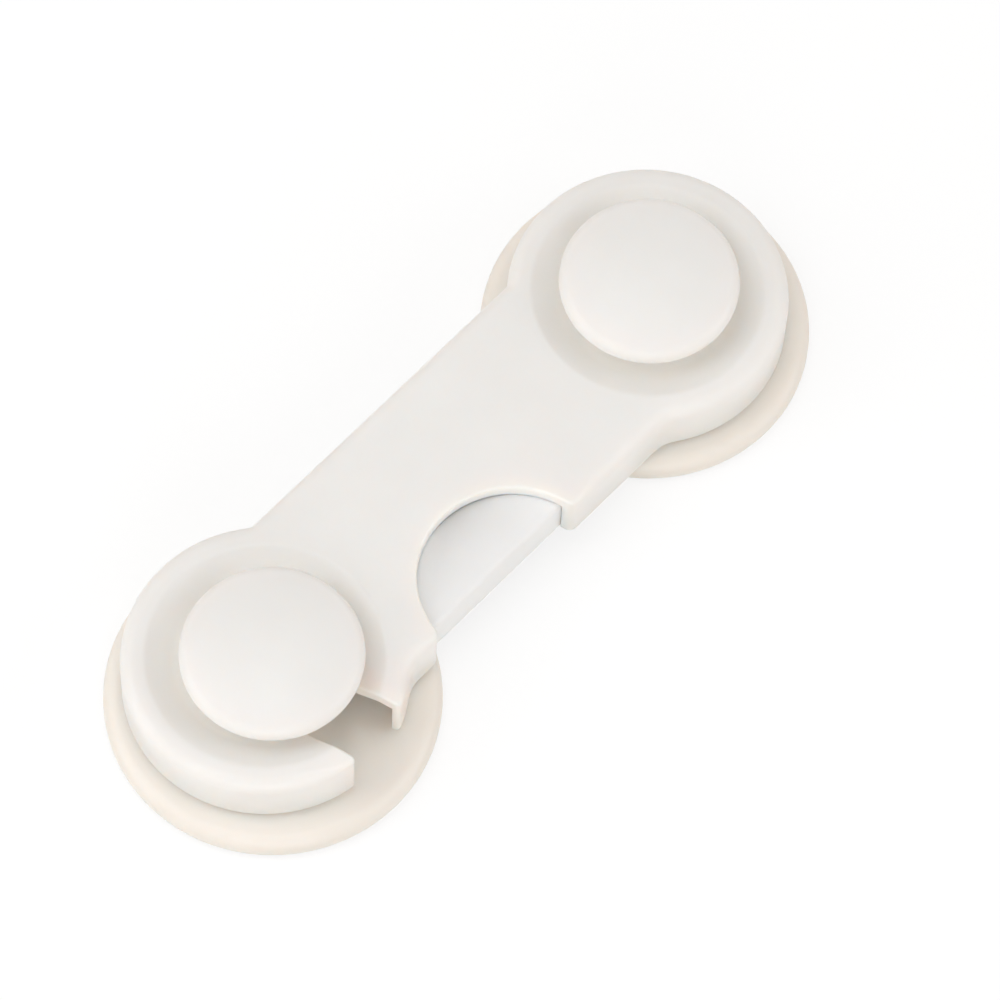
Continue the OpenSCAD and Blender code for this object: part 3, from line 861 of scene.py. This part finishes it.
def foam(name):
    """Closed-cell foam: pale, dull, with fine cells."""
    material, tree, shader, place = new_material(name)
    mottle = noise(tree, place, size_mm=0.5, detail=4)
    two_tone(tree, shader, mottle, (0.74, 0.74, 0.71), (0.84, 0.84, 0.81))
    cells = tree.nodes.new("ShaderNodeTexVoronoi")
    cells.inputs["Scale"].default_value = 1 / (FOAM_CELL * MM)
    tree.links.new(place.outputs["Object"], cells.inputs["Vector"])
    bumps(tree, shader, cells.outputs["Distance"], strength=0.5, height_mm=0.05)
    shader.inputs["Roughness"].default_value = 0.85
    return material


def steel(name, first, second, rough):
    """Plated or drawn steel with fine unevenness."""
    material, tree, shader, place = new_material(name)
    two_tone(tree, shader, noise(tree, place, size_mm=1.2, detail=3), first, second)
    patches = noise(tree, place, size_mm=0.3, detail=3)
    gloss = spread(tree, patches, low=rough - 0.06, high=rough + 0.08)
    tree.links.new(gloss.outputs["Result"], shader.inputs["Roughness"])
    grain = noise(tree, place, size_mm=0.12, detail=2)
    bumps(tree, shader, grain.outputs["Fac"], strength=0.2, height_mm=0.004)
    shader.inputs["Metallic"].default_value = 1.0
    return material


def dress(obj, material):
    obj.data.materials.clear()
    obj.data.materials.append(material)


def soften_edges(obj, width_mm):
    """Breaks the sharp edges of a CAD node without touching its mesh."""
    merge = obj.modifiers.new("flat_faces", "DECIMATE")
    merge.decimate_type = "DISSOLVE"
    merge.angle_limit = FLAT_ANGLE
    bevel = obj.modifiers.new("broken_edges", "BEVEL")
    bevel.width = width_mm * MM
    bevel.segments = 3
    bevel.limit_method = "ANGLE"
    bevel.angle_limit = math.radians(40)
    bevel.use_clamp_overlap = True


# The arm's ivory; its last tone is painted light, paler and warmer down in the dishes
ivory = plastic(
    "moulded_ivory", (0.916, 0.901, 0.872), (0.932, 0.919, 0.892), 0.36, dish_light_tone=(0.990, 0.962, 0.912)
)
ivory_base = plastic("moulded_base", (0.905, 0.850, 0.775), (0.921, 0.870, 0.799), 0.38)
# Painted warm shade: a tan tone on the faces the cuts leave inside the arm, standing in for warm light through the
# plastic in the pocket
ivory_painted_warm_shade = plastic("moulded_inside_painted_warm_shade", (0.928, 0.862, 0.765), (0.940, 0.880, 0.788), 0.42)
ivory_lever = plastic("moulded_pad", (0.922, 0.919, 0.912), (0.938, 0.935, 0.930), 0.34, reach_mm=0.5)
tape = foam("tape_foam")
zinc = steel("zinc_plate", (0.62, 0.62, 0.63), (0.70, 0.70, 0.71), 0.34)
bright = steel("drawn_steel", (0.54, 0.55, 0.57), (0.64, 0.65, 0.67), 0.26)

# Pieces


def place_piece(obj, body, node, material=None):
    """Puts a piece on a body in a node's place. Without a material it keeps its own."""
    if material:
        dress(obj, material)
    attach(obj, body)
    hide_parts(node)


def place_spring(spring):
    """The spring wire in drawn steel, baked where it stands and put on no body."""
    dress(spring, bright)
    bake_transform(spring)
    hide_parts("return_spring")


for post, at, boss_r in (("pivot", PIVOT, PIVOT_BOSS_R), ("latch", LATCH, NECK_R)):
    turned = lathe(f"{post}_base_shell", base_profile(), at, True)
    place_piece(turned, "posts", f"{post}_base", ivory_base)
    head = lathe(f"{post}_cap_shell", cap_profile(boss_r), at, False)
    place_piece(head, "posts", f"{post}_cap", ivory)
    disc = lathe(f"{post}_foam_pad", foam_profile(), at, False)
    place_piece(disc, "posts", f"{post}_adhesive_pad", tape)

place_piece(arm_shell(), "arm", "arm_cover")
place_spring(spring_wire())
place_piece(lever_shell(), "lever", "release_lever", ivory_lever)

# CAD nodes that stay, each with its material and the width of its broken edges
kept = {
    "arm_back_plate": (ivory, 0.2),
    "arm_screws": (zinc, 0.12),
    "pivot_screw": (zinc, 0.15),
    "latch_screw": (zinc, 0.15),
    "lever_pin": (bright, 0.15),
    "catch_leaf": (bright, 0.06),
}
for name, (material, width) in kept.items():
    dress(nodes[name], material)
    soften_edges(nodes[name], width)

# Camera, as fitted to the photograph

CAMERA_AZIMUTH = math.radians(-50.92)
CAMERA_ELEVATION = math.radians(64.93)
CAMERA_ROLL = math.radians(3.32)
CAMERA_DISTANCE = 756
CAMERA_TARGET = Vector((2.85, -3.80, 5.0))
CAMERA_LENS = 217.62


def make_camera():
    data = bpy.data.cameras.new("camera")
    data.lens = CAMERA_LENS
    data.sensor_width = 36
    data.clip_start = 0.01
    data.clip_end = 20
    camera = bpy.data.objects.new("camera", data)
    flat = math.cos(CAMERA_ELEVATION)
    back = Vector((
        math.sin(CAMERA_AZIMUTH) * flat,
        -math.cos(CAMERA_AZIMUTH) * flat,
        math.sin(CAMERA_ELEVATION),
    ))
    aim = (-back).to_track_quat("-Z", "Y").to_matrix()
    roll = Matrix.Rotation(CAMERA_ROLL, 3, "Z")
    camera.matrix_world = (
        Matrix.Translation((CAMERA_TARGET + back * CAMERA_DISTANCE) * MM) @ (aim @ roll).to_4x4()
    )
    bpy.context.scene.collection.objects.link(camera)
    bpy.context.scene.camera = camera


# Stage and light

LAMP_DISTANCE = 800
LAMP_SIZE = 500
KEY_TINT = (0.965, 0.995, 1.045)
FILL_TINT = (1.03, 0.995, 0.95)
FILL_LIGHT = 0.55
FLOOR_HALF = 3000
FLOOR_DROP = 0.05
FLOOR_BOUNCE = (0.88, 0.86, 0.82, 1)
FLOOR_SHADE = (0.3, 0.3, 0.3, 1)
FLOOR_GLOW = 0.74


def seen_directly(tree):
    """1 for rays from the camera and for what gloss or glass shows, 0 for light on the object."""
    path = tree.nodes.new("ShaderNodeLightPath")
    first = tree.nodes.new("ShaderNodeMath")
    first.operation = "MAXIMUM"
    second = tree.nodes.new("ShaderNodeMath")
    second.operation = "MAXIMUM"
    tree.links.new(path.outputs["Is Camera Ray"], first.inputs[0])
    tree.links.new(path.outputs["Is Glossy Ray"], first.inputs[1])
    tree.links.new(first.outputs[0], second.inputs[0])
    tree.links.new(path.outputs["Is Transmission Ray"], second.inputs[1])
    return second


def make_floor():
    """A pale floor: bright with a faint shadow where it is seen, slightly warm as bounced light."""
    bm = bmesh.new()
    bmesh.ops.create_grid(bm, x_segments=2, y_segments=2, size=FLOOR_HALF * MM)
    mesh = bpy.data.meshes.new("floor")
    bm.to_mesh(mesh)
    bm.free()
    floor = bpy.data.objects.new("floor", mesh)
    floor.location.z = -FLOOR_DROP * MM
    bpy.context.scene.collection.objects.link(floor)
    material = bpy.data.materials.new("floor")
    material.use_nodes = True
    tree = material.node_tree
    tree.nodes.clear()
    out = tree.nodes.new("ShaderNodeOutputMaterial")
    bounce = tree.nodes.new("ShaderNodeBsdfDiffuse")
    bounce.inputs["Color"].default_value = FLOOR_BOUNCE
    shade = tree.nodes.new("ShaderNodeBsdfDiffuse")
    shade.inputs["Color"].default_value = FLOOR_SHADE
    glow = tree.nodes.new("ShaderNodeEmission")
    glow.inputs["Strength"].default_value = FLOOR_GLOW
    seen = tree.nodes.new("ShaderNodeAddShader")
    mix = tree.nodes.new("ShaderNodeMixShader")
    tree.links.new(shade.outputs[0], seen.inputs[0])
    tree.links.new(glow.outputs[0], seen.inputs[1])
    tree.links.new(seen_directly(tree).outputs[0], mix.inputs[0])
    tree.links.new(bounce.outputs[0], mix.inputs[1])
    tree.links.new(seen.outputs[0], mix.inputs[2])
    tree.links.new(mix.outputs[0], out.inputs[0])
    mesh.materials.append(material)


def make_world(light):
    """White where it is seen, and a warm fill light for the object."""
    world = bpy.data.worlds.new("studio")
    world.use_nodes = True
    tree = world.node_tree
    background = tree.nodes["Background"]
    seen = seen_directly(tree)
    tint = tree.nodes.new("ShaderNodeMix")
    tint.data_type = "RGBA"
    tint.inputs["A"].default_value = (*FILL_TINT, 1)
    tint.inputs["B"].default_value = (1, 1, 1, 1)
    strength = tree.nodes.new("ShaderNodeMapRange")
    strength.inputs["To Min"].default_value = light
    strength.inputs["To Max"].default_value = 1.0
    tree.links.new(seen.outputs[0], tint.inputs["Factor"])
    tree.links.new(seen.outputs[0], strength.inputs["Value"])
    tree.links.new(tint.outputs["Result"], background.inputs["Color"])
    tree.links.new(strength.outputs["Result"], background.inputs["Strength"])
    bpy.context.scene.world = world


def soft_box(name, azimuth, elevation, power):
    """A round lamp aimed at the object, at an azimuth from +X and an elevation in degrees."""
    data = bpy.data.lights.new(name, "AREA")
    data.shape = "DISK"
    data.size = LAMP_SIZE * MM
    data.energy = power
    data.color = KEY_TINT
    lamp = bpy.data.objects.new(name, data)
    turn = math.radians(azimuth)
    rise = math.radians(elevation)
    away = Vector((math.cos(turn) * math.cos(rise), math.sin(turn) * math.cos(rise), math.sin(rise)))
    lamp.location = away * LAMP_DISTANCE * MM
    lamp.rotation_euler = (-away).to_track_quat("-Z", "Y").to_euler()
    bpy.context.scene.collection.objects.link(lamp)


make_camera()
make_floor()
make_world(FILL_LIGHT)
soft_box("top", 132, 84, 0.6)
soft_box("left", 132, 52, 0.8)
soft_box("low_left", 145, 22, 0.9)
soft_box("near", 222, 22, 1.15)
soft_box("right", 305, 26, 0.95)

bpy.context.scene.view_settings.view_transform = "Standard"
